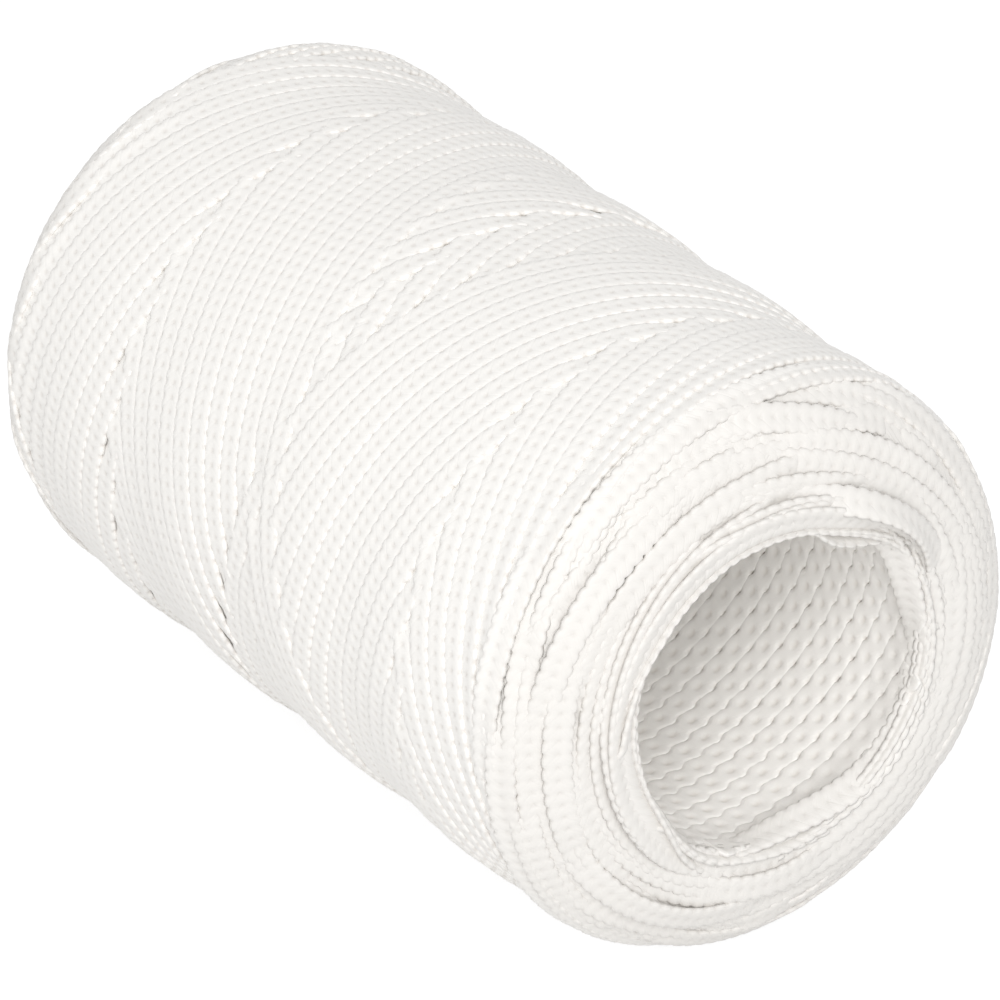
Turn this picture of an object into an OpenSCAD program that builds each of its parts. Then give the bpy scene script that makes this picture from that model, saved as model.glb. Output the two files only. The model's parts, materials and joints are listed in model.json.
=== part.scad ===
// A coreless package of flat braided twine, cross-wound into a thick tube that
// lies on its side. The bore runs along X and z = 0 is the surface it lies on.
// Angles round the package start at the top and grow towards -Y.

/* [Package] */
// Outside diameter of the wound package
package_d = 60; // [54:1:80]
// Length of the cylindrical side, from shoulder to shoulder
side_l = 84; // [70:1:110]
// How far each domed end stands out past its shoulder
dome_h = 7; // [5:0.5:10]
// Diameter of the bore that the spindle leaves
bore_d = 33.6; // [28:0.1:36]

/* [Twine] */
// Width of the flat braid
cord_w = 2.5; // [2:0.1:2.8]
// Thickness of the flat braid
cord_t = 1.2; // [0.9:0.1:1.5]

/* [Winding] */
// Whole turns that the twine makes on one trip there and back
trip_turns = 3; // [3:1:4]
// Trips there and back that lie on the outside
trips = 7; // [4:1:7]
// Sideways gap between twines laid side by side
side_gap = 0.65; // [0.6:0.05:1]
// Radial gap where a twine crosses over another
cross_gap = 0.8; // [0.8:0.05:1.2]
// Clearance between the outer turns and the layers that carry them
seat_gap = 0.3; // [0.2:0.05:0.4]
// Angle where the newest trip starts, at the rear shoulder
start_angle = 124; // [0:1:359]

/* [Ends] */
// Turns that lie on each domed end
end_turns = 3.75; // [2:0.25:3.75]
// Angle where they start, at the shoulder
end_start = 230; // [0:1:359]
// Wall of the first layer, round the bore
bore_wall = 1.2; // [1:0.1:2]
// Radius that rounds the lips of the bore
lip_r = 0.5; // [0.3:0.1:0.5]

/* [Hidden] */

// Rings per turn of twine, and how far apart they are
RINGS = 24;
ring_step = 360 / RINGS;

// Levels of the two crossing sets of twine, and of the layers beneath
package_r = package_d / 2;
bore_r = bore_d / 2;
upper_r = package_r - cord_t / 2;
lower_r = upper_r - cord_t - cross_gap;
core_r = lower_r - cord_t / 2 - seat_gap;

// The twine turns back where its edge reaches the shoulder
shoulder = side_l / 2;
turn_back = shoulder - cord_w / 2;

// As many twines go round as fit side by side at the angle of the winding
rough_lead = 4 * turn_back / trip_turns;
rough_angle = atan(rough_lead / (2 * PI * package_r));
cords_round = floor(rough_lead * cos(rough_angle) / (cord_w + side_gap));
cord_step = 360 / cords_round;
trip = 360 * trip_turns + cord_step;
half_trip = trip / 2;

// It turns back, and climbs or drops a level, in a short step at each shoulder
turn_step = cord_step / 3;
run_rings = round((half_trip - turn_step) / ring_step);
run_step = (half_trip - turn_step) / run_rings;

// A tenth of the twine is cut away where the package stands on it
nominal_d = (cord_w + cord_t) / 2;
floor_drop = package_r - nominal_d / 10;

// The domed end is a quarter ellipse from the shoulder to the crest round the bore
crest_r = bore_r + bore_wall + lip_r + 0.1;
dome_l = dome_h - cord_t / 2;
dome_r = package_r - crest_r - cord_t / 2;
DOME_STEPS = 48;
dome_pts = [for (i = [0:DOME_STEPS]) dome_at(90 * i / DOME_STEPS)];
dome_arc = running_sum([for (i = [1:DOME_STEPS]) norm(dome_pts[i] - dome_pts[i - 1])]);
first_turn_arc = cord_w / 2 + side_gap;

// Middle of a twine on the dome: distance past the shoulder, and radius
function dome_at(a) = [dome_l * sin(a), crest_r + dome_r * cos(a)];
function running_sum(v, i = 0, s = 0) =
    i == len(v) ? [s] : concat([s], running_sum(v, i + 1, s + v[i]));
function unit(v) = v / norm(v);

// A point of the package, from its place along the bore, radius and angle
function place(x, r, a) = [x, -r * sin(a), r * cos(a)];

// The crossing winding: the way out lies on the upper level, the way back below it
cross_turns = [for (h = [0:2 * trips - 1], k = [0:run_rings])
    [h, turn_step / 2 + k * run_step]];
function cross_angle(q) = start_angle + q[0] * half_trip + q[1];
function cross_point(q) =
    let (x = turn_back * (2 * q[1] / half_trip - 1))
    q[0] % 2 == 0 ? place(x, upper_r, cross_angle(q)) : place(-x, lower_r, cross_angle(q));
cross_pts = [for (q = cross_turns) cross_point(q)];
cross_outs = [for (q = cross_turns) place(0, 1, cross_angle(q))];

// The end turns: a spiral from the shoulder in to the crest of the dome
dome_table = [for (i = [0:DOME_STEPS]) [dome_arc[i], 90 * i / DOME_STEPS]];
function dome_angle(turn) =
    lookup(first_turn_arc + (dome_arc[DOME_STEPS] - first_turn_arc) * turn / end_turns, dome_table);
end_at = [for (k = [0:RINGS * end_turns]) k / RINGS];
function end_points(side) = [for (turn = end_at)
    let (p = dome_at(dome_angle(turn)))
    place(side * (shoulder + p[0]), p[1], side * (end_start + 360 * turn))];
function end_outs(side) = [for (turn = end_at)
    let (a = dome_angle(turn))
    place(side * sin(a) / dome_l, cos(a) / dome_r, side * (end_start + 360 * turn))];

// Each ring of a twine: its middle, and its width, thickness and length directions
function frames(pts, outs) = let (last = len(pts) - 1) [for (i = [0:last])
    let (o = unit(outs[i]), d = pts[min(i + 1, last)] - pts[max(i - 1, 0)],
         t = unit(d - o * (d * o)))
    [pts[i], cross(t, o), o, t]];
function moved(f, d) = [f[0] + f[3] * d, f[1], f[2], f[3]];
function straight_ends(f) =
    concat([moved(f[0], -nominal_d)], f, [moved(f[len(f) - 1], nominal_d)]);

// Least gap between turns, taken abreast at six points on each stretch of twine
PARTS = [0:0.2:1];
reach = 2 * PI * package_r / RINGS;
function on(f, i, s) = f[i][0] * (1 - s) + f[i + 1][0] * s;
function half_size(f, v) = let (w = abs(f[1] * v) * cord_w / 2)
    max(w, w / 2 + abs(f[2] * v) * cord_t / 2);
function gap_along(f, g, d, v) = abs(d * v) - half_size(f, v) - half_size(g, v);
function least_gap(f) = min([for (i = [0:len(f) - 2], j = [i + RINGS / 2:len(f) - 2])
    if (norm(f[i][0] - f[j][0]) < reach) for (s = PARTS, t = PARTS)
        let (d = on(f, j, t) - on(f, i, s))
        if (abs(d * f[i][3]) < reach / 10)
            max([for (v = [f[i][1], f[i][2], unit(d)]) gap_along(f[i], f[j], d, v)])]);

// One unbroken six-sided twine through a list of rings, in triangles
SIDES = [[1, 0], [0.5, 1], [-0.5, 1], [-1, 0], [-0.5, -1], [0.5, -1]];
module twine(rings) {
    n = len(rings);
    points = [for (f = rings, c = SIDES) f[0] + f[1] * c[0] * cord_w / 2 + f[2] * c[1] * cord_t / 2];
    walls = [for (i = [0:n - 2], k = [0:5])
        let (a = 6 * i + k, b = 6 * i + (k + 1) % 6)
        each [[a, b, a + 6], [b, b + 6, a + 6]]];
    caps = [for (k = [1:4]) each [[0, k + 1, k], [6 * n - 6, 6 * n - 6 + k, 6 * n - 5 + k]]];
    polyhedron(points, concat(walls, caps));
}

// Turns a profile drawn as [radius, place along the bore] round the bore's axis
module turned() {
    rotate([0, 90, 0]) rotate_extrude($fn = 96) children();
}

cross_rings = frames(cross_pts, cross_outs);
front_rings = frames(end_points(1), end_outs(1));
rear_rings = frames(end_points(-1), end_outs(-1));

// First layer, whose inside is the bore
module bore_layer() {
    half = shoulder + dome_h - cord_t - seat_gap;
    color("whitesmoke") turned() offset(r = lip_r) offset(delta = -lip_r)
        translate([bore_r, -half]) square([bore_wall, 2 * half]);
}

module inner_layers() {
    inner_r = bore_r + bore_wall + seat_gap;
    drop = cord_t / 2 + seat_gap;
    dome = [for (a = [0:7.5:90]) [crest_r + (dome_r - drop) * cos(a),
                                  shoulder + (dome_l - drop) * sin(a)]];
    half = concat([[core_r, shoulder + seat_gap]], [dome[0] + [0, seat_gap]],
                  [for (i = [1:len(dome) - 1]) dome[i]],
                  [[inner_r, shoulder + dome_l - drop]]);
    mirrored = [for (i = [len(half) - 1:-1:0]) [half[i][0], -half[i][1]]];
    color("whitesmoke") turned() polygon(concat(half, mirrored));
}

module outer_winding() {
    color("white") difference() {
        twine(straight_ends(cross_rings));
        translate([-side_l, -package_d, -floor_drop - package_d])
            cube([2 * side_l, 2 * package_d, package_d]);
    }
}

module front_end_turns() {
    color("white") twine(straight_ends(front_rings));
}

module rear_end_turns() {
    color("white") twine(straight_ends(rear_rings));
}

echo(loops = trips * trip / 360, least_gap_mm = least_gap(cross_rings));
echo(end_turns = end_turns, least_gap_mm = least_gap(front_rings));

translate([0, 0, floor_drop]) {
    bore_layer();
    inner_layers();
    outer_winding();
    front_end_turns();
    rear_end_turns();
}
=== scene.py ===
# %% [markdown]
# # A package of white braided twine
# The object is about fifty metres of flat braided twine, wound on a winder into a thick tube
# with domed ends. The mandrel was pulled out, so the bore is open and has no core.
# The lesson lays the real twine again, turn by turn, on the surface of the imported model, and
# gives it the relief of its braid. All lengths are in metres, and the bore runs along X.

import json
import math

import bpy
import numpy as np
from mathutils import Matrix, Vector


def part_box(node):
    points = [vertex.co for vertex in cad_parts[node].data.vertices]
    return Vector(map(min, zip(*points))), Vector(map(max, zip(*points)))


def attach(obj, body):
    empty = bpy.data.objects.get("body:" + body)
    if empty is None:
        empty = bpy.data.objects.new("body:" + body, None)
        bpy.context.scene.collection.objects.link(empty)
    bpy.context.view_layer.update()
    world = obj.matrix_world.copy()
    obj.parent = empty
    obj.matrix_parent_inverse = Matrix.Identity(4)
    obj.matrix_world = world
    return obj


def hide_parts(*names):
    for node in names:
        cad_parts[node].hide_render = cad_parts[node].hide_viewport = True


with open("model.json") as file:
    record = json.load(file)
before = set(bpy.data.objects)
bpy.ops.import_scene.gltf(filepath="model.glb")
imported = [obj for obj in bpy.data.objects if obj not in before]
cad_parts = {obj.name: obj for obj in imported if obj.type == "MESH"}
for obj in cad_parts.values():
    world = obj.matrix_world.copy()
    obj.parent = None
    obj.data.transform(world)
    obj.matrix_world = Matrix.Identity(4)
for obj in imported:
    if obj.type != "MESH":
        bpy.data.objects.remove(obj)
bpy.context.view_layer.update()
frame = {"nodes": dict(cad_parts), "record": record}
print("nodes", sorted(frame["nodes"]))

# %% [markdown]
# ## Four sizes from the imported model
# The twine has to keep the height of the bore's axis, the width of the bore, the width of the
# package and how far its ends reach. They could be typed in once more, but then the dressed package
# would not follow a change of the model. So they are read from the record and from two nodes'
# boxes, and rounded, because a stray last digit could shift a turn.

# %% Sizes from the frame


def to_micrometre(metres):
    """A size rounded to a millionth of a metre."""
    return round(float(metres), 6)


def to_tenth(metres):
    """A size of a faceted solid, rounded to a tenth of a millimetre."""
    return round(float(metres), 4)


bore_mount = next(m for m in frame["record"]["mounts"] if m["name"] == "spindle_bore")
AXIS_HEIGHT = to_micrometre(bore_mount["pos_m"][2])
BORE_R = to_micrometre(bore_mount["dims"]["r_mm"] / 1000)
PACKAGE_R = to_tenth(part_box("outer_winding")[1][1])
END_X = to_tenth(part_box("front_end_turns")[1][0])
print("axis at", AXIS_HEIGHT, "bore", BORE_R, "package", PACKAGE_R, "ends at", END_X)

# %% [markdown]
# ## The camera
# The package lies on its side, and is seen from above its front end with a long lens, so that
# the far end looks hardly smaller than the near one. A tracking constraint could aim the camera.
# Three unit vectors (right, up, and away from the object) do it here, because they put the
# camera exactly where the angles say, and the lamp can stand by the same rule.

# %% Camera
VIEW_AZIMUTH, VIEW_ELEVATION = 56.7, 28.3  # degrees, from -Y towards +X and upwards
VIEW_DISTANCE = 0.775
LENS, SENSOR = 283.8, 36  # millimetres, as the camera counts them
AIM_RIGHT, AIM_DOWN = 0.000919, 0.001757  # the image's centre, seen from the tube's middle


def view_axes(azimuth, elevation):
    """Right, up and away: away = (cos e sin a, -cos e cos a, sin e), right lies level, and
    up is away x right."""
    a, e = math.radians(azimuth), math.radians(elevation)
    away = np.array([math.cos(e) * math.sin(a), -math.cos(e) * math.cos(a), math.sin(e)])
    right = np.array([math.cos(a), math.sin(a), 0.0])
    return right, np.cross(away, right), away


def stand(item, axes, point):
    """Puts an object at a point, with its own X, Y and Z along the three axes."""
    matrix = np.eye(4)
    matrix[:3, :3] = np.column_stack(axes)
    matrix[:3, 3] = point
    item.matrix_world = matrix.T.tolist()
    bpy.context.collection.objects.link(item)


right, up, away = view_axes(VIEW_AZIMUTH, VIEW_ELEVATION)
aim = np.array([0, 0, AXIS_HEIGHT]) + AIM_RIGHT * right - AIM_DOWN * up
camera_data = bpy.data.cameras.new("camera")
camera_data.lens = LENS
camera_data.sensor_width = SENSOR
camera_data.clip_start = 0.05
camera_data.clip_end = 20
camera = bpy.data.objects.new("camera", camera_data)
stand(camera, (right, up, away), aim + VIEW_DISTANCE * away)
bpy.context.scene.camera = camera
print("camera at", np.round(aim + VIEW_DISTANCE * away, 4))

# %% [markdown]
# ## The line that the package is turned from
# Cut the package along its axis, and the middle of its topmost twine follows one line: straight
# along the side, over the domed end, round the lip and back through the bore. Every turn of twine
# is placed by how far along this line it lies and by its angle round the axis. A table with
# interpolation is used, because one curve of four different pieces has no single formula.

# %% Package line
SIDE_HALF = 0.042  # half the straight side
TWINE_T = 0.0012  # thickness of the flat twine
LIP_R = 0.0012
TOP_R = PACKAGE_R - TWINE_T / 2
CREST_R = to_micrometre(BORE_R + TWINE_T / 2 + LIP_R)  # where the dome ends and the lip begins
BORE_TWINE_R = CREST_R - LIP_R
DOME_L = to_micrometre(END_X - TWINE_T / 2 - SIDE_HALF)  # half-axes of the quarter ellipse
DOME_R = to_micrometre(TOP_R - CREST_R)
STRAIGHT_STEPS, ROUND_STEPS = 59, 90  # steps on each straight and on each round stretch
DOME_START = STRAIGHT_STEPS
DOME_END = DOME_START + ROUND_STEPS
LIP_END = DOME_END + ROUND_STEPS


def package_line():
    """The line as rows of place along the axis, radius and outward direction: a straight side,
    a quarter ellipse, a quarter circle for the lip, and the straight bore wall."""
    turn = np.radians(np.linspace(0, 90, ROUND_STEPS + 1))
    flat = np.linspace(0, SIDE_HALF, STRAIGHT_STEPS + 1)[:-1]
    side = np.column_stack([flat, TOP_R + 0 * flat, 0 * flat, 1 + 0 * flat])
    dome = np.column_stack([
        SIDE_HALF + DOME_L * np.sin(turn),
        CREST_R + DOME_R * np.cos(turn),
        np.sin(turn) / DOME_L,
        np.cos(turn) / DOME_R,
    ])
    lip_x = SIDE_HALF + DOME_L - LIP_R
    lip = np.column_stack([
        lip_x + LIP_R * np.cos(turn[1:]),
        CREST_R - LIP_R * np.sin(turn[1:]),
        np.cos(turn[1:]),
        -np.sin(turn[1:]),
    ])
    back = np.linspace(lip_x, 0, STRAIGHT_STEPS + 1)[1:]
    bore = np.column_stack([back, BORE_TWINE_R + 0 * back, 0 * back, -1 + 0 * back])
    line = np.vstack([side, dome, lip, bore])
    line[:, 2:] /= np.linalg.norm(line[:, 2:], axis=1)[:, None]
    steps = np.linalg.norm(np.diff(line[:, :2], axis=0), axis=1)
    return np.concatenate([[0], np.cumsum(steps)]), line


LINE_S, LINE = package_line()
S_CREST, S_LIP = LINE_S[DOME_END], LINE_S[LIP_END]
print("shoulder, crest, lip at", [round(1000 * float(v), 2) for v in (SIDE_HALF, S_CREST, S_LIP)])

# %% [markdown]
# ## Where the package is uneven
# A wound package is no perfect tube: turns are heaped on one side of the front lip, and the
# layers beneath swell and sink a little. Finished meshes could be displaced, but that would
# stretch the braid. So the surface itself gets both forms before any twine is laid on it.

# %% Pile and swell
PILE, PILE_REACH = 0.0019, 0.0016  # greatest height, and reach along the line
PILE_MIDDLE, PILE_ANGLE = S_CREST + 0.0012, math.radians(50)
PILE_EDGE = 0.35  # the pile fades while the cosine falls from this to minus this
SWELL, SWELL_LENGTH = 0.00016, 0.020
SWELL_SHIFTS = 2.9, 0.8  # radians by which the two waves start late
SWELL_END, SWELL_FADE = 0.052, 0.010


def pile(s, angle):
    """How far the turns that are heaped on the front lip stand out: PILE x a bell of the
    distance from PILE_MIDDLE x a smooth step of the cosine of the angle from PILE_ANGLE."""
    part = np.clip((np.cos(angle - PILE_ANGLE) + PILE_EDGE) / (2 * PILE_EDGE), 0, 1)
    return PILE * np.exp(-(((s - PILE_MIDDLE) / PILE_REACH) ** 2)) * part * part * (3 - 2 * part)


def swell(s, angle):
    """Soft unevenness of the layers beneath: two crossing waves, SWELL x sin(2 pi s / wave
    length +- angle + shift), that die out on the domed ends."""
    along = 2 * math.pi * s / SWELL_LENGTH
    fade = np.clip((SWELL_END - np.abs(s)) / SWELL_FADE, 0, 1)
    first, second = SWELL_SHIFTS
    return SWELL * fade * (np.sin(along + angle + first) + np.sin(along - angle + second))


def on_package(s, angle):
    """Points, outward directions and radii for places s along the line (negative towards the
    rear end) and angles round the axis, from the top towards -Y:
    point = (x, -r sin a, height + r cos a) + out x (pile + swell)."""
    x, r, nx, nr = (np.interp(np.abs(s), LINE_S, LINE[:, k]) for k in range(4))
    end = np.sign(s)
    point = np.column_stack([end * x, -r * np.sin(angle), AXIS_HEIGHT + r * np.cos(angle)])
    out = np.column_stack([end * nx, -nr * np.sin(angle), nr * np.cos(angle)])
    out /= np.linalg.norm(out, axis=1)[:, None]
    return point + out * (pile(s, angle) + swell(s, angle))[:, None], out, r


print("heaped by", 1000 * PILE, "mm, swollen by up to", round(2000 * SWELL, 2), "mm")

# %% [markdown]
# ## How the layers lie
# The winder lays the twine to and fro at a steep pitch, each trip beside the one before, and the
# newest always lies on top. To find what shows, the trips are peeled off from the newest to
# the oldest over a map of the surface that counts how many twines already lie over each spot. A
# twine sinks by its own thickness where another covers it, leans where only one of its edges is
# covered, and is left out where nothing of it shows. This is quicker than a rod simulation and
# gives the same crossings every time.

# %% Cover map
CELL = 0.0004
MAP_HALF = 0.064  # how far the map reaches along the line, to both ends
ROWS = int(2 * MAP_HALF / CELL)
COLUMNS = int(2 * math.pi * PACKAGE_R / CELL)
TWINE_W = 0.0027  # width that a twine claims on the map
COVER_HALF = 0.0013  # half the width that it hides
ACROSS = np.linspace(-1, 1, 9)
PROBES = np.array([-0.85, -0.5, -0.25, 0, 0.25, 0.5, 0.85])  # looked at, in half widths


def cells(s, angle, r, offsets):
    """Map cells at sideways offsets from a path: the sideways direction is the path's own
    direction on the unrolled surface, turned by a right angle."""
    ds, da = np.gradient(s), np.gradient(angle) * r
    size = np.hypot(ds, da)
    ss = s + offsets[:, None] * (-da / size)
    aa = angle + offsets[:, None] * (ds / size) / r
    row = np.clip(((ss + MAP_HALF) / CELL).astype(int), 0, ROWS - 1)
    return row, (aa / (2 * math.pi) * COLUMNS).astype(int) % COLUMNS


print("cover map of", ROWS, "x", COLUMNS, "cells")

# %% Paths in even steps
STITCH = 0.00141  # length of one stitch of the braid
STITCH_RINGS = 5
STEP = STITCH / STITCH_RINGS  # length of twine from ring to ring
MARGIN_RINGS, LEAST_RINGS = 10, 25  # grown past what shows, and the shortest stretch kept
TUCK_RINGS, LONG_TUCK = 9, 40  # rings over which an end dives in
TUCK_DEPTH = 0.0010


def smooth(values, reach):
    """Running mean along the last axis with the bell-shaped weight exp(-(k / reach)^2 / 2)."""
    k = np.exp(-0.5 * (np.arange(-3 * reach, 3 * reach + 1) / reach) ** 2)
    k /= k.sum()
    pad = np.pad(values, [(0, 0)] * (values.ndim - 1) + [(3 * reach, 3 * reach)], mode="edge")
    return np.apply_along_axis(lambda row: np.convolve(row, k, mode="valid"), -1, pad)


def even_steps(s, angle):
    """The same path with rings at even lengths of twine: length is the running sum of
    straight steps on the surface."""
    r = on_package(s, angle)[2]
    length = np.concatenate([[0], np.cumsum(np.hypot(np.diff(s), np.diff(angle) * r[1:]))])
    even = np.arange(0, length[-1], STEP)
    return np.interp(even, length, s), np.interp(even, length, angle)


def stretches(shown, margin):
    """Start and end of each run of rings that shows, grown by a margin at both ends."""
    grown = np.convolve(shown, np.ones(2 * margin + 1), mode="same") > 0
    edges = np.flatnonzero(np.diff(np.concatenate([[0], grown.astype(int), [0]])))
    return edges.reshape(-1, 2)


def tuck(rings, first, last):
    """Extra depth at both ends of a stretch, so that its cut ends hide: TUCK_DEPTH at the end,
    falling to 0 over the first and the last rings as a cosine."""
    left = np.minimum(np.arange(rings) / first, np.arange(rings)[::-1] / last)
    return TUCK_DEPTH * (0.5 + 0.5 * np.cos(math.pi * np.clip(left, 0, 1)))[:, None]


def sideways(point, out):
    """Unit vector across a twine: along the path x out."""
    side = np.cross(np.gradient(point, axis=0), out)
    return side / np.linalg.norm(side, axis=1)[:, None]


print("a ring every", round(1000 * STEP, 3), "mm of twine")

# %% [markdown]
# ## How the stitches lie
# The braid has a hole at every stitch. On the side of a real package the holes of neighbouring
# twines come to lie abreast, in a fine square grid, since all of them are wound at one pitch and
# one tension. A free count from each twine's own start would give a random pattern. Here the
# count is tied to the place on the package, with a little play.

# %% Stitches
LEAD = 0.0531  # how far a trip moves along in one turn
STITCH_PLAY = 0.06  # of a stitch


def stitches(s, angle, way, draw):
    """Stitch count at each ring of a stretch: length / stitch length. On the straight trips
    (way 1 or -1) it is shifted so that neighbours' stitches lie abreast, because their place
    along the twine is then angle x radius x cos(pitch angle) + s x sin(pitch angle)."""
    count = np.arange(len(s)) * STEP / STITCH
    shift = draw.uniform(0, 1)
    if way:
        slope = math.atan2(LEAD, 2 * math.pi * TOP_R)
        middle = len(s) // 2
        abreast = way * angle[middle] * TOP_R * math.cos(slope) + s[middle] * math.sin(slope)
        shift = abreast / STITCH - count[middle] + draw.normal(0, STITCH_PLAY)
    return count + shift


print("pitch angle", round(math.degrees(math.atan2(LEAD, 2 * math.pi * TOP_R)), 1), "degrees")

# %% Peel
SINK, DEEPEST = 0.00032, 1.6  # depth for each twine above, and how many of them count
SOFT_RINGS = 4  # over which the depth changes
MOST_LEAN = 0.15


def peel(paths, cover, draw):
    """Lays paths from the newest to the oldest and returns the stretches that show, each as
    points, outward directions and stitch counts. Depth = SINK x (twines above, at most
    DEEPEST), averaged over the width and smoothed along the twine, and lean = the slope of
    the straight line through the depths across it."""
    inner = PROBES[1:-1]
    found = []
    for s, angle, way in paths:
        s, angle = even_steps(s, angle)
        point, out, r = on_package(s, angle)
        above = cover[cells(s, angle, r, PROBES * TWINE_W / 2)]
        depth = smooth(np.minimum(above[1:-1], DEEPEST), SOFT_RINGS) * SINK
        lean = (depth * inner[:, None]).sum(0) / (inner ** 2).sum() / (TWINE_W / 2)
        side = sideways(point, out)
        point = point - out * depth.mean(0)[:, None]
        out = out + side * np.clip(-lean, -MOST_LEAN, MOST_LEAN)[:, None]
        for a, b in stretches((above == 0).any(0), MARGIN_RINGS):
            if b - a > LEAST_RINGS:
                count = stitches(s[a:b], angle[a:b], way, draw)
                ends = [LONG_TUCK if e in (0, len(s)) else TUCK_RINGS for e in (a, b)]
                found.append((point[a:b] - tuck(b - a, *ends) * out[a:b], out[a:b], count))
        here = np.zeros(cover.shape, bool)
        here[cells(s, angle, r, ACROSS * COVER_HALF)] = True
        cover += here
    return found


def tell(name, found):
    """Prints how many stretches were found, and their rings in all."""
    print(name, len(found), "rings", sum(len(f[0]) for f in found))


print("a covered twine lies", round(1000 * SINK, 2), "mm deeper")

# %% [markdown]
# ## The outer winding
# On the side, twenty trips lie beside each other in each direction. A trip out turns with
# the angle growing, and the trip back crosses it. Both follow the same steep line until
# the end is near, where the twine turns back, stays on the shoulder for a while and slips a little
# down the dome. The turning point could be a fillet between two lines. A smooth minimum, the soft
# version of the smaller of two numbers, needs no search for where the fillet starts, and the
# twine never kinks.

# %% Outer trips
ROUND = 20  # twines side by side in one lead
FIRST_X, FIRST_ANGLE = 0.003, 1.05  # where the newest trips cross
TURN_SOFT = 0.0022
TRIP_POINTS = 2400
TURN_SPOTS = 0.0430, 0.0447  # nearest and farthest turning point
MOST_SLIP = 0.0050
rng = np.random.default_rng(7)


def smooth_min(a, b, width):
    """b - width x log(1 + exp((b - a) / width)): a where a is small, b where a is large."""
    return b - width * np.logaddexp(0, (b - a) / width)


def trip(age, way, front_turn, rear_turn, front_slip, rear_slip):
    """One trip from end to end. The angle grows or falls evenly with the unbent place along
    the axis, and the bent place stops short at each turning point, then slips down the dome
    by slip x sin(90 degrees x part of the way past the turning point) squared."""
    unbent = np.linspace(FIRST_X - LEAD, FIRST_X + LEAD, TRIP_POINTS)
    angle = FIRST_ANGLE + age + way * 2 * math.pi * (unbent - FIRST_X) / LEAD
    s = smooth_min(unbent, front_turn, TURN_SOFT)
    s = -smooth_min(-s, rear_turn, TURN_SOFT)
    near_front = np.clip((unbent - front_turn) / (FIRST_X + LEAD - front_turn), 0, 1)
    near_rear = np.clip((-rear_turn - unbent) / (LEAD - FIRST_X - rear_turn), 0, 1)
    s += front_slip * np.sin(near_front * math.pi / 2) ** 2
    s -= rear_slip * np.sin(near_rear * math.pi / 2) ** 2
    return s, angle


turn_spots = rng.uniform(*TURN_SPOTS, (ROUND, 2))
slips = rng.uniform(0.0, MOST_SLIP, (ROUND, 2))
outer_trips = []
for j in range(ROUND):
    for way, shift in ((1, 0.0), (-1, 0.5)):
        age = 2 * math.pi * (j + shift) / ROUND
        outer_trips.append((*trip(age, way, *turn_spots[j], *slips[j]), way))
cover = np.zeros((ROWS, COLUMNS))
outer_found = peel(outer_trips, cover, rng)
tell("outer stretches", outer_found)

# %% [markdown]
# ## The domed ends
# Every layer under the outer one also turns back at each end, a little further in. What shows of
# it there is a band of arcs that overlap, come out from under the layer outside it, and
# go back under. One spiral would be simpler, but its turns would all lie alike. Each arc is a
# shallow parabola on the unrolled dome, because a twine that turns back follows such a curve.

# %% End arcs
BANDS = 11
CLOSE_BANDS, CALM_BANDS = 5, 4  # innermost bands with more arcs, and with longer, calmer ones
FEW_ARCS, MORE_ARCS = 5, 7
FIRST_PEAK, LAST_PEAK = 0.0458, S_CREST + 0.0028
HALF_REACH = 55, 80  # degrees, least and greatest
LONGER, CALMER = 1.5, 0.35
ARC_PLAY, TOP_PLAY, TILT_PLAY = 0.2, 0.0007, 0.0011
SAG = 0.0014, 0.0036
PATH_POINTS = 900


def end_arcs(end, seed):
    """Arcs of all bands of one end, the outer bands first. Place = peak - sag x (angle from the
    arc's middle / half its reach) squared."""
    draw = np.random.default_rng(seed)
    part = np.linspace(-1, 1, PATH_POINTS)
    arcs = []
    for band in range(BANDS):
        peak = FIRST_PEAK + (LAST_PEAK - FIRST_PEAK) * band / (BANDS - 1)
        count = MORE_ARCS if band >= BANDS - CLOSE_BANDS else FEW_ARCS
        longer, calm = (LONGER, CALMER) if band >= BANDS - CALM_BANDS else (1, 1.0)
        first = draw.uniform(0, 2 * math.pi)
        for k in range(count):
            half = math.radians(draw.uniform(*HALF_REACH) * longer)
            middle = first + 2 * math.pi * (k + draw.uniform(-ARC_PLAY, ARC_PLAY)) / count
            top = peak + draw.uniform(-TOP_PLAY, TOP_PLAY) * calm
            tilt = draw.uniform(-TILT_PLAY, TILT_PLAY) * calm
            s = top - draw.uniform(*SAG) * calm * part ** 2 + tilt * part
            arcs.append((end * s, middle + half * part, 0))
    return arcs


front_found = peel(end_arcs(1, 11), cover, rng)
tell("front arcs", front_found)

# %% [markdown]
# ## Loose turns
# A few turns at the lip and on the dome stand off the others, as their tension is gone, and one
# of them has turned on its edge. They could come from a physics run, which would place them by
# chance. Here each is set one by one: where it starts and ends, how high it lifts and how far it
# twists. The rear end gets the same ones at mirrored angles, apart from those heaped at the lip.

# %% Loose turns
LOOSE = [  # first and last angle in degrees, place at both, height and twist in the middle
    (6, -84, S_CREST - 0.0004, S_CREST - 0.0018, 0.0019, -0.7),
    (-2, -60, S_CREST + 0.0016, S_CREST + 0.0022, 0.0008, 0.3),
    (-28, -114, S_CREST + 0.0010, S_CREST + 0.0022, 0.0007, -0.4),
    (152, 238, S_CREST + 0.0022, S_CREST + 0.0010, 0.0011, 0.3),
    (100, 204, 0.0490, 0.0512, 0.0007, 0.2),
    (138, 222, 0.0528, 0.0536, 0.0005, 0.0),
    (10, 105, 0.0505, 0.0480, 0.0004, 0.0),
]
AT_THE_LIP = 2  # rows at the start that the rear end lacks
MIRROR = 200  # degrees: an angle a of the front end is MIRROR - a at the rear


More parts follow.
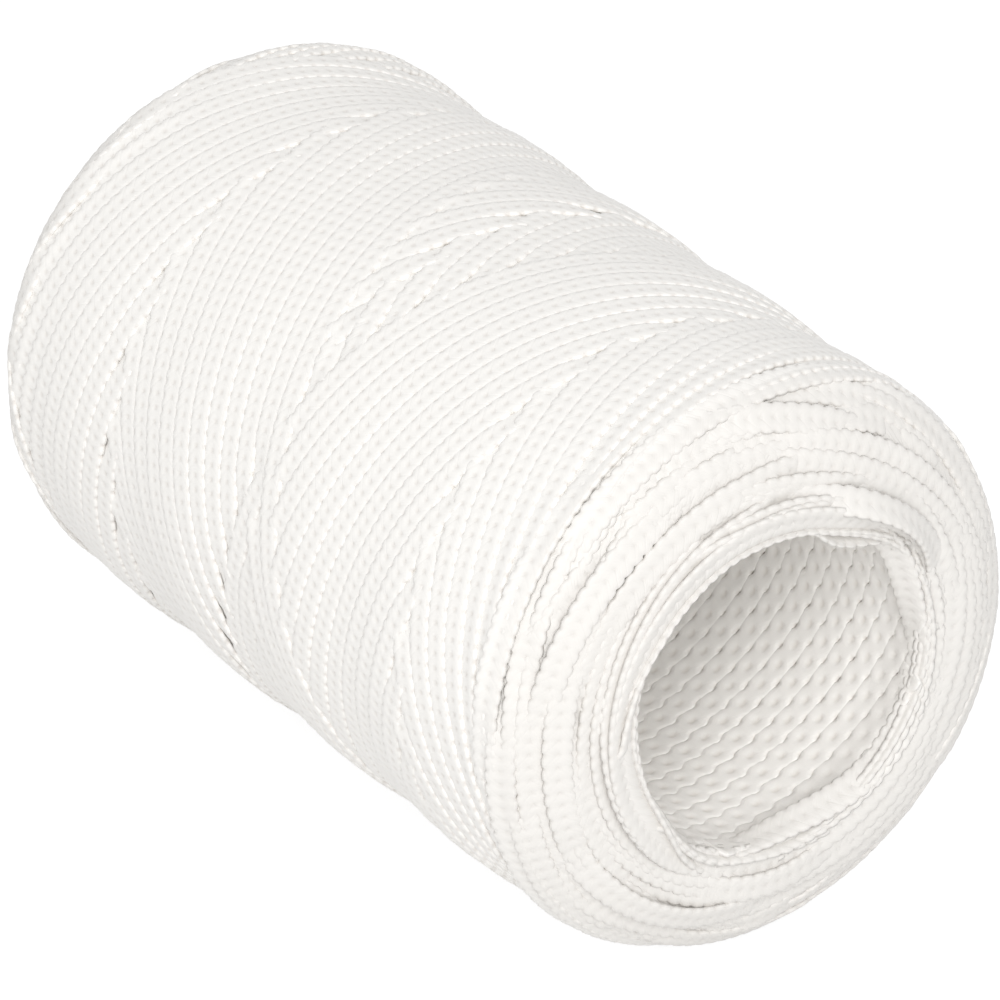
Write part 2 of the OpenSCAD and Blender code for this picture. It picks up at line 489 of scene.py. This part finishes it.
def loose_turns(end, rows):
    """From place to place in a straight line on the unrolled dome, and lifted so that they
    come out of the others and go in again: lift = (height + TUCK_DEPTH) x sin(pi x part of
    the way) squared - TUCK_DEPTH. The twist turns their flat side away by the same rule."""
    part = np.linspace(0, 1, PATH_POINTS)
    found = []
    for first, last, s_first, s_last, height, twist in rows:
        s = end * (s_first + (s_last - s_first) * part)
        s, angle = even_steps(s, np.radians(first + (last - first) * part))
        point, out, _ = on_package(s, angle)
        middle = np.sin(np.linspace(0, math.pi, len(s)))[:, None] ** 2
        side = sideways(point, out)
        point += out * ((height + TUCK_DEPTH) * middle - TUCK_DEPTH)
        out = out * np.cos(twist * middle) + side * np.sin(twist * middle)
        found.append((point, out, stitches(s, angle, 0, rng)))
    return found


front_found += loose_turns(1, LOOSE)
mirrored = [(MIRROR - a, MIRROR - b, *rest) for a, b, *rest in LOOSE[AT_THE_LIP:]]
rear_found = peel(end_arcs(-1, 23), cover, rng)
rear_found += loose_turns(-1, mirrored)
tell("front arcs and loose turns", front_found)
tell("rear arcs and loose turns", rear_found)
bare = cover[int((MAP_HALF - S_CREST) / CELL):int((MAP_HALF + S_CREST) / CELL)] == 0
print("bare between the crests", round(float(bare.mean()), 4))

# %% [markdown]
# ## The bore
# The first layer lines the bore. Its turns lie close, one beside the next, and the mandrel has
# pulled them askew as it came out, so that they lean like stacked coins that slid. Tilted rings
# would show the lean, but the twine is one length. So it is one long coil with a wave added.

# %% Bore turns
BORE_PITCH = 0.0030
BORE_TURNS = 44
BORE_ROUND = 42.25  # stitches in one turn: a quarter left over puts neighbours' holes in steps
BORE_RINGS = 7  # in one stitch
BORE_LEAN = 0.0090
BORE_LOW_ANGLE = math.radians(212)
BORE_END = SIDE_HALF + DOME_L - LIP_R
BORE_MARGIN = 3  # rings that go on past the end
WANDER, WANDER_RATE = 0.00005, 5.37  # how far a turn strays sideways, and how often in a turn


def bore_turns():
    """One long coil: x = start + pitch x turns + lean x (1 - cos(angle - low angle)), cut
    where it would leave the bore. Its width is the pitch x cos(slope), so that it just
    overlaps the turn beside it: slope = d x / (radius x d angle)."""
    angle = np.arange(0, 2 * math.pi * BORE_TURNS, 2 * math.pi / BORE_ROUND / BORE_RINGS)
    x = -BORE_END - 2 * BORE_LEAN + BORE_PITCH * angle / (2 * math.pi)
    x += BORE_LEAN * (1 - np.cos(angle - BORE_LOW_ANGLE))
    x += WANDER * np.sin(angle * WANDER_RATE)
    slope = np.arctan(np.gradient(x, angle) / BORE_TWINE_R)
    found = []
    for a, b in stretches(np.abs(x) < BORE_END, BORE_MARGIN):
        if b - a > LEAST_RINGS:
            out = np.column_stack([0 * x[a:b], np.sin(angle[a:b]), -np.cos(angle[a:b])])
            point = np.column_stack([x[a:b], 0 * x[a:b], AXIS_HEIGHT + 0 * x[a:b]])
            count = np.arange(a, b) / BORE_RINGS
            found.append((point - BORE_TWINE_R * out, out, count, np.cos(slope[a:b])))
    return found


bore_found = bore_turns()
tell("bore stretches", bore_found)

# %% [markdown]
# ## The braid
# The twine is a flat braid, or plait: strands run from edge to edge, round a row of small holes in
# its middle and round shallow notches in both edges. Outside, holes and notches lie abreast. In
# the bore, which shows the twine's other face, the notches come half a stitch further on. Real
# strands could be swept one by one, at ten times the faces. Here both sets of holes are the
# peaks of one product of cosines, and each twine is one closed tube with twelve sides, of which
# ten show and two close its back.

# %% Relief of the braid
SHOWN_U = np.array([-1, -0.94, -0.8, -0.45, -0.16, 0, 0.16, 0.45, 0.8, 0.94, 1])
UNDER_U = np.array([0.0])
SIDES = len(SHOWN_U) + len(UNDER_U)
CROWN_FLAT, CROWN_ROUND = 12, 0.45  # powers that keep the top flat and round its edges
GROOVE_REACH = 0.2  # of half the width
HOLE_LENGTH = 1.3  # power that draws a hole in along the twine


def holes(u, v, stagger, sharp):
    """(cos(2 pi v) above 0) to the power HOLE_LENGTH x cos(pi u) to the even power sharp: it
    peaks at the holes in the middle and, a part of a stitch further on, at the notches in the
    edges."""
    along = v + stagger * (np.abs(u) > 0.5)
    return np.clip(np.cos(2 * math.pi * along), 0, 1) ** HOLE_LENGTH * np.cos(math.pi * u) ** sharp


def braid_tube(point, out, v, width, thick, pit, notch, groove, stagger, sharp):
    """Vertices and their (u, v, shown) for one stretch: a flat oval, (1 - |u| to the power
    CROWN_FLAT) to the power CROWN_ROUND high, with a shallow groove down its middle, carried
    along the path, sunk by pit and narrowed by notch where the braid has its holes, and plump
    between them."""
    side = sideways(point, out)
    out = np.cross(side, np.gradient(point, axis=0))
    out /= np.linalg.norm(out, axis=1)[:, None]
    u = np.concatenate([SHOWN_U, UNDER_U])
    shown = np.repeat([1.0, 0.0], [len(SHOWN_U), len(UNDER_U)])
    crown = (1 - np.abs(u) ** CROWN_FLAT) ** CROWN_ROUND
    crown = crown - groove * np.exp(-((u / GROOVE_REACH) ** 2)) * shown
    uu, vv = np.meshgrid(u, v)
    hole = holes(uu, vv, stagger, sharp)
    plump = 0.5 * groove * np.cos(2 * math.pi * vv) * np.sin(math.pi * np.abs(uu))
    reach = uu * (1 - notch * hole * np.abs(uu) ** 3)
    lift = crown * np.where(shown, 1, -1) - shown * (pit * hole + plump)
    vertex = (
        point[:, None]
        + side[:, None] * (reach * (width / 2)[:, None])[..., None]
        + out[:, None] * (lift * thick / 2)[..., None]
    )
    return vertex.reshape(-1, 3), np.column_stack([uu.ravel(), vv.ravel(), np.tile(shown, len(v))])


print("a twine has", SIDES, "sides")

# %% Faces of a tube


def tube_faces(rings, sides, start):
    """Quads between neighbouring rings, and one cap at each end."""
    i, k = np.meshgrid(np.arange(rings - 1), np.arange(sides), indexing="ij")
    a, b = i * sides + k, i * sides + (k + 1) % sides
    quads = np.stack([a, b, b + sides, a + sides], -1).reshape(-1, 4) + start
    caps = [np.arange(sides)[::-1] + start, np.arange(sides) + (rings - 1) * sides + start]
    return quads, caps


print("two rings make", len(tube_faces(2, SIDES, 0)[0]), "quads and 2 caps")

# %% Twine meshes


def finished(name, mesh, coordinates, values):
    """An object at the origin from a mesh, smooth, with its coordinates as a point attribute."""
    attribute = mesh.attributes.new(coordinates, "FLOAT_VECTOR", "POINT")
    attribute.data.foreach_set("vector", values.ravel())
    mesh.shade_smooth()
    piece = bpy.data.objects.new(name, mesh)
    bpy.context.collection.objects.link(piece)
    return piece


def twine_piece(name, found, width, thick, **relief):
    """One mesh from many stretches: the rings of each follow those of the one before. What
    would reach below the floor is pressed flat on it: z = the larger of z and 0."""
    vertices, marks, quads, caps = [], [], [], []
    start = 0
    for point, out, v, *narrow in found:
        widths = width * (narrow[0] if narrow else np.ones(len(v)))
        vertex, mark = braid_tube(point, out, v, widths, thick, **relief)
        vertex[:, 2] = np.maximum(vertex[:, 2], 0)
        q, c = tube_faces(len(point), SIDES, start)
        vertices.append(vertex)
        marks.append(mark)
        quads.append(q)
        caps += c
        start += len(vertex)
    vertices, marks, quads = np.vstack(vertices), np.vstack(marks), np.vstack(quads)
    mesh = bpy.data.meshes.new(name)
    mesh.vertices.add(len(vertices))
    mesh.vertices.foreach_set("co", vertices.ravel())
    corners = np.concatenate([quads.ravel(), np.concatenate(caps)])
    sizes = np.concatenate([np.full(len(quads), 4), np.full(len(caps), SIDES)])
    mesh.loops.add(len(corners))
    mesh.loops.foreach_set("vertex_index", corners.astype(np.int32))
    mesh.polygons.add(len(sizes))
    starts = np.concatenate([[0], np.cumsum(sizes)[:-1]])
    mesh.polygons.foreach_set("loop_start", starts.astype(np.int32))
    mesh.update(calc_edges=True)
    piece = finished(name, mesh, "braid", marks)
    mesh.validate()
    return piece


print("stretches to join", [len(f) for f in (outer_found, front_found, rear_found, bore_found)])

# %% [markdown]
# ## Twine finish
# The strands are bundles of fine white filaments. Their shine runs along the strands, so the fine
# grain follows the chevrons of the braid. An image of a weave could be wrapped round, but it would
# blur when seen close. A node group works out the grain, the creases and the holes from the braid
# coordinates, and each material mixes them with its own amounts. The holes and the gaps between
# twines are also darkened in colour, as painted shade.

# %% Math nodes


def calc(tree, operation, a, b=None, c=None):
    """A Math node whose inputs are linked from sockets or set to numbers."""
    node = tree.nodes.new("ShaderNodeMath")
    node.operation = operation
    for socket, value in zip(node.inputs, (a, b, c)):
        if isinstance(value, (int, float)):
            socket.default_value = value
        elif value is not None:
            tree.links.new(value, socket)
    return node.outputs[0]


def scaled(tree, value, factor, added):
    """value x factor + added."""
    return calc(tree, "MULTIPLY_ADD", value, factor, added)


def together(tree, x, y):
    """A vector from two sockets, for patterns that need only two directions."""
    join = tree.nodes.new("ShaderNodeCombineXYZ")
    tree.links.new(x, join.inputs[0])
    tree.links.new(y, join.inputs[1])
    return join.outputs[0]


def apart(tree, vector):
    """The three parts of a vector."""
    split = tree.nodes.new("ShaderNodeSeparateXYZ")
    tree.links.new(vector, split.inputs[0])
    return split.outputs


print("helpers", [f.__name__ for f in (calc, scaled, together, apart)])

# %% Braid grain group
HOLE_REACH, GAP_REACH = 0.30, 0.42  # of half the twine's width
CREASE_SHARP, CREASE_DEPTH = 6.0, 0.5


def braid_grain_group():
    """Hole, gap, height and tone from braid coordinates. Hole = (cos(2 pi v) above 0) x (1 -
    |u| / reach) above 0; gap is the same at the edges, Stagger of a stitch further on. Hole and gap
    are the masks of the painted shade in the holes and between the twines. Crease = (cos(2 pi (v -
    |u|)) above 0) to a high power; grain = noise drawn out along the chevrons; height = grain -
    crease x depth."""
    tree = bpy.data.node_groups.new("braid grain", "ShaderNodeTree")
    face = tree.interface
    face.new_socket("Braid", in_out="INPUT", socket_type="NodeSocketVector")
    face.new_socket("Filaments", in_out="INPUT", socket_type="NodeSocketFloat")
    face.new_socket("Stagger", in_out="INPUT", socket_type="NodeSocketFloat")
    for name in ("Hole", "Gap", "Height", "Tone"):
        face.new_socket(name, in_out="OUTPUT", socket_type="NodeSocketFloat")
    start = tree.nodes.new("NodeGroupInput")
    end = tree.nodes.new("NodeGroupOutput")
    across, v, _ = apart(tree, start.outputs["Braid"])
    u = calc(tree, "ABSOLUTE", across)

    def wave(along):
        """cos(2 pi x along), above 0."""
        turns = calc(tree, "MULTIPLY", along, 2 * math.pi)
        return calc(tree, "MAXIMUM", calc(tree, "COSINE", turns), 0.0)

    near_middle = calc(tree, "MAXIMUM", scaled(tree, u, -1 / HOLE_REACH, 1.0), 0.0)
    near_edge = calc(tree, "MAXIMUM", scaled(tree, u, 1 / GAP_REACH, 1.0 - 1 / GAP_REACH), 0.0)
    shifted = calc(tree, "ADD", v, start.outputs["Stagger"])
    chevron = calc(tree, "SUBTRACT", v, u)
    crease = calc(tree, "POWER", wave(chevron), CREASE_SHARP)
    noise = tree.nodes.new("ShaderNodeTexNoise")
    noise.inputs["Scale"].default_value = 1.0
    noise.inputs["Detail"].default_value = 3.0
    drawn_out = calc(tree, "MULTIPLY", chevron, start.outputs["Filaments"])
    tree.links.new(together(tree, drawn_out, across), noise.inputs["Vector"])
    grain = noise.outputs["Fac"]
    height = calc(tree, "SUBTRACT", grain, calc(tree, "MULTIPLY", crease, CREASE_DEPTH))
    tree.links.new(calc(tree, "MULTIPLY", wave(v), near_middle), end.inputs["Hole"])
    tree.links.new(calc(tree, "MULTIPLY", wave(shifted), near_edge), end.inputs["Gap"])
    tree.links.new(height, end.inputs["Height"])
    tree.links.new(grain, end.inputs["Tone"])
    return tree


BRAID_GRAIN = braid_grain_group()
print("braid grain group of", len(BRAID_GRAIN.nodes), "nodes")

# %% Where the painted shade of the ends begins


def counted_rows(tree, lay):
    """Braid coordinates from two counts on a plain surface: u = 2 x fraction(twines) - 1,
    and v = stitches."""
    twines, count, _ = apart(tree, lay)
    return together(tree, scaled(tree, calc(tree, "FRACT", twines), 2.0, -1.0), count)


def end_mask(tree):
    """0 on the side and 1 on the ends, where painted shade darkens the turns: |x| from the shoulder
    to the middle of the dome.
    """
    place = tree.nodes.new("ShaderNodeTexCoord")
    mask = tree.nodes.new("ShaderNodeMapRange")
    mask.inputs["From Min"].default_value = SIDE_HALF
    mask.inputs["From Max"].default_value = SIDE_HALF + DOME_L / 2
    x = apart(tree, place.outputs["Object"])[0]
    tree.links.new(calc(tree, "ABSOLUTE", x), mask.inputs["Value"])
    return mask.outputs[0]


def mixed(tree, kind, factor, a, b):
    """A colour Mix node. a and b are sockets or plain colours."""
    mix = tree.nodes.new("ShaderNodeMix")
    mix.data_type = "RGBA"
    mix.blend_type = kind
    tree.links.new(factor, mix.inputs["Factor"])
    for socket, value in ((mix.inputs["A"], a), (mix.inputs["B"], b)):
        if isinstance(value, tuple):
            socket.default_value = (*value, 1)
        else:
            tree.links.new(value, socket)
    return mix.outputs["Result"]


print("the finish changes from the shoulder at", 1000 * SIDE_HALF, "mm on")

# %% Twine materials
# The second colour is painted shade: the holes and the gaps between twines are darkened towards it,
# where shade falls into them.
WHITE, PAINTED_HOLE_SHADE = (0.908, 0.89, 0.861), (0.77, 0.737, 0.698)
BORE_WHITE_PAINTED_LIGHT, BORE_PAINTED_HOLE_SHADE = (0.995, 0.978, 0.95), (0.82, 0.78, 0.73)  # in the bore: a lighter white, painted light for the light that the translucent twine scatters deep into it, and painted shade in its holes
PAINTED_END_SHADE = (0.85, 0.843, 0.836)  # painted shade: the share of its light that the turns of the ends keep
TONE_SHADE, HOLE_SHADE, GAP_SHADE = 0.2, 0.8, 1.1  # how much each of them darkens
TONE_MIDDLE = 0.3  # grain above this darkens, and grain below it lightens
END_CALM = 0.6  # how much of the darkening, grain tone and painted shade of holes and gaps, is lost on the ends
SMOOTHEST, ROUGHER = 0.38, 0.25
BUMP_HEIGHT = 0.0001
SHEEN, SHEEN_ROUGHNESS = 0.12, 0.4


def twine_material(name, light, shade, filaments, bump, stagger, rows=False):
    """White filament: the shade colour, painted shade, in the holes and gaps, the light one on the
    strands, and both darkened by painted shade on the ends. With rows, the braid coordinates are
    counted out on a plain surface."""
    material = bpy.data.materials.new(name)
    material.use_nodes = True
    tree = material.node_tree
    shader = tree.nodes["Principled BSDF"]
    braid = tree.nodes.new("ShaderNodeAttribute")
    braid.attribute_name = "lay" if rows else "braid"
    where = braid.outputs["Vector"]
    grain = tree.nodes.new("ShaderNodeGroup")
    grain.node_tree = BRAID_GRAIN
    grain.inputs["Filaments"].default_value = filaments
    grain.inputs["Stagger"].default_value = stagger
    tree.links.new(counted_rows(tree, where) if rows else where, grain.inputs["Braid"])
    on_end = end_mask(tree)
    dark = scaled(tree, grain.outputs["Tone"], TONE_SHADE, -TONE_MIDDLE * TONE_SHADE)
    # Painted shade in the holes and in the gaps between twines.
    dark = scaled(tree, grain.outputs["Hole"], HOLE_SHADE, dark)
    dark = scaled(tree, grain.outputs["Gap"], GAP_SHADE, dark)
    dark = calc(tree, "MULTIPLY", dark, scaled(tree, on_end, -END_CALM, 1.0))
    colour = mixed(tree, "MIX", calc(tree, "MINIMUM", dark, 1.0), light, shade)
    # Painted shade on the ends: the colour is darkened there.
    tree.links.new(mixed(tree, "MULTIPLY", on_end, colour, PAINTED_END_SHADE), shader.inputs["Base Color"])
    rough = scaled(tree, grain.outputs["Tone"], ROUGHER, SMOOTHEST)
    tree.links.new(rough, shader.inputs["Roughness"])
    bumps = tree.nodes.new("ShaderNodeBump")
    bumps.inputs["Strength"].default_value = bump
    bumps.inputs["Distance"].default_value = BUMP_HEIGHT
    tree.links.new(grain.outputs["Height"], bumps.inputs["Height"])
    tree.links.new(bumps.outputs["Normal"], shader.inputs["Normal"])
    shader.inputs["Sheen Weight"].default_value = SHEEN
    shader.inputs["Sheen Roughness"].default_value = SHEEN_ROUGHNESS
    return material


outer_finish = twine_material(
    "white braid", WHITE, PAINTED_HOLE_SHADE, filaments=9.0, bump=0.3, stagger=0.0)
buried_finish = twine_material(
    "white braid beneath", WHITE, PAINTED_HOLE_SHADE, filaments=9.0, bump=0.5, stagger=0.0, rows=True)
# The bore's twine gets painted light, a lighter white than outside, and painted shade in its holes.
bore_finish = twine_material(
    "white braid of the bore", BORE_WHITE_PAINTED_LIGHT, BORE_PAINTED_HOLE_SHADE, filaments=12.0, bump=0.1, stagger=0.5)
print("materials", [m.name for m in (outer_finish, buried_finish, bore_finish)])

# %% [markdown]
# ## The twine itself
# All stretches now become closed braided tubes. One object for each stretch would be hundreds of
# objects, and one for all of them a mesh that is too heavy to hand on. So the stretches are joined
# into a few pieces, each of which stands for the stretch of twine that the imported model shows.

# %% Twine pieces
MOST_RINGS = 7200  # in one piece, so that it stays under 200,000 triangles
OUTER_BRAID = dict(width=0.00310, thick=0.00082, pit=0.42, notch=0.13, groove=0.04, stagger=0.0,
                   sharp=6)
BORE_BRAID = dict(width=0.00360, thick=0.0007, pit=0.8, notch=0.25, groove=0.0, stagger=0.5,
                  sharp=4)


def dress(piece, node, finish):
    """Gives a piece its finish, hangs it under the root body, and hides the node that it stands
    for.
    """
    piece.data.materials.append(finish)
    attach(piece, "root")
    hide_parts(node)
    print(piece.name, len(piece.data.polygons), "faces")


def lay_pieces(name, found, node, slot, finish, **braid):
    """Splits the stretches into pieces of at most MOST_RINGS rings, and dresses each."""
    groups, count = [[]], 0
    for stretch in found:
        if count + len(stretch[0]) > MOST_RINGS:
            groups.append([])
            count = 0
        groups[-1].append(stretch)
        count += len(stretch[0])
    for k, group in enumerate(groups):
        dress(twine_piece(f"{name}_{k + 1}", group, **braid), node, finish)


lay_pieces("outer_twine", outer_found, "outer_winding", "outer_twine", outer_finish, **OUTER_BRAID)
lay_pieces("front_turns", front_found, "front_end_turns", "end_twine", outer_finish, **OUTER_BRAID)
lay_pieces("rear_turns", rear_found, "rear_end_turns", "end_twine", outer_finish, **OUTER_BRAID)
lay_pieces("bore_turns", bore_found, "bore_layer", "bore_twine", bore_finish, **BORE_BRAID)

# %% [markdown]
# ## The layers beneath
# All the buried layers together are one closed ring that only peeps through the gaps. More
# trips of braided tubes could fill them, at a great cost in faces. The ring follows the same line
# as the turns above it, a little deeper, and its finish draws rows of braid on it from two
# counts: twines along the line, and stitches round the axis.

# %% Buried layers
UNDER, UNDER_BORE = 0.00016, 0.00055  # depth below the line, outside and in the bore
UNDER_TURN = 240  # points round the axis
PAST_LIP = 0.001


def buried_layers():
    """The package line moved inwards and carried round the axis, as a closed ring."""
    half = np.concatenate([LINE_S[:DOME_START:4], LINE_S[DOME_START:LIP_END:3],
                           LINE_S[LIP_END::4], LINE_S[-1:]])
    s = np.concatenate([half, -half[::-1][1:-1]])
    n = len(s)
    turn = np.linspace(0, 2 * math.pi, UNDER_TURN, endpoint=False)
    ss, tt = np.tile(s, UNDER_TURN), np.repeat(turn, n)
    point, out, r = on_package(ss, tt)
    point -= out * np.where(np.abs(ss) > S_LIP + PAST_LIP, UNDER_BORE, UNDER)[:, None]
    i, k = np.meshgrid(np.arange(UNDER_TURN), np.arange(n), indexing="ij")
    a, b = i * n + k, i * n + (k + 1) % n
    c, d = (i + 1) % UNDER_TURN * n + (k + 1) % n, (i + 1) % UNDER_TURN * n + k
    mesh = bpy.data.meshes.new("buried_layers")
    mesh.from_pydata(point.tolist(), [], np.stack([a, d, c, b], -1).reshape(-1, 4).tolist())
    lay = np.column_stack([ss / TWINE_W, np.minimum(tt, 2 * math.pi - tt) * r / STITCH, 0 * ss])
    return finished("buried_layers", mesh, "lay", lay)


dress(buried_layers(), "inner_layers", buried_finish)

# %% [markdown]
# ## The floor
# White twine lies on a white ground that still keeps its shadow. More light would turn the floor
# white and the twine with it. So the floor is a plain pale surface to the light, and only for
# what the camera and mirrors see it glows a little, under a thin layer that carries the shadow.

# %% Floor
FLOOR_HALF = 3.0
FLOOR_GLOW, FLOOR_THIN, FLOOR_PLAIN = 0.88, 0.22, 0.85


def diffuse(tree, level):
    """A matt grey of the given level."""
    shader = tree.nodes.new("ShaderNodeBsdfDiffuse")
    shader.inputs["Color"].default_value = (level, level, level, 1)
    return shader.outputs[0]


def seen_rays(tree):
    """1 for what the camera sees itself, in a mirror or through glass, and 0 for the rest."""
    path = tree.nodes.new("ShaderNodeLightPath").outputs
    seen = calc(tree, "ADD", path["Is Camera Ray"], path["Is Glossy Ray"])
    return calc(tree, "MINIMUM", calc(tree, "ADD", seen, path["Is Transmission Ray"]), 1.0)


def floor_material():
    """Matt white for light; where it is seen, a steady glow plus a thin matt part."""
    material = bpy.data.materials.new("white ground")
    material.use_nodes = True
    tree = material.node_tree
    tree.nodes.clear()
    glow = tree.nodes.new("ShaderNodeEmission")
    glow.inputs["Strength"].default_value = FLOOR_GLOW
    both = tree.nodes.new("ShaderNodeAddShader")
    pick = tree.nodes.new("ShaderNodeMixShader")
    out = tree.nodes.new("ShaderNodeOutputMaterial")
    tree.links.new(diffuse(tree, FLOOR_THIN), both.inputs[0])
    tree.links.new(glow.outputs[0], both.inputs[1])
    tree.links.new(seen_rays(tree), pick.inputs[0])
    tree.links.new(diffuse(tree, FLOOR_PLAIN), pick.inputs[1])
    tree.links.new(both.outputs[0], pick.inputs[2])
    tree.links.new(pick.outputs[0], out.inputs[0])
    return material


corners = FLOOR_HALF * np.array([(-1, -1, 0), (1, -1, 0), (1, 1, 0), (-1, 1, 0)])
floor_mesh = bpy.data.meshes.new("floor")
floor_mesh.from_pydata(corners.tolist(), [], [(0, 1, 2, 3)])
floor = bpy.data.objects.new("floor", floor_mesh)
bpy.context.collection.objects.link(floor)
floor.data.materials.append(floor_material())
print("floor of", 2 * FLOOR_HALF, "m")

# %% [markdown]
# ## The light
# A white object shows its relief only in small steps of shade. Light from all sides alone would
# flatten it, and a bare lamp would turn its bright side to plain white. So the room gives most of
# the light, and one broad lamp near the viewer's direction reaches into the bore and draws the
# braid.

# %% Lamp and world
WORLD_LIGHT = 0.695
LAMP_AZIMUTH, LAMP_ELEVATION = 60, 32  # degrees, counted as for the camera
LAMP_DISTANCE, LAMP_SIZE, LAMP_WATTS = 1.0, 0.6, 5.4

world = bpy.data.worlds.new("soft room")
bpy.context.scene.world = world
world.use_nodes = True
sky = world.node_tree
background = sky.nodes["Background"]
background.inputs["Color"].default_value = (1, 1, 1, 1)
strength = scaled(sky, seen_rays(sky), 1.0 - WORLD_LIGHT, WORLD_LIGHT)
sky.links.new(strength, background.inputs["Strength"])

lamp = bpy.data.lights.new("key_lamp", "AREA")
lamp.size = LAMP_SIZE
lamp.energy = LAMP_WATTS
lamp_axes = view_axes(LAMP_AZIMUTH, LAMP_ELEVATION)
stand(bpy.data.objects.new("key_lamp", lamp), lamp_axes, LAMP_DISTANCE * lamp_axes[2])
bpy.context.scene.view_settings.view_transform = "Standard"
print("room at", WORLD_LIGHT, "lamp of", LAMP_WATTS, "watts")
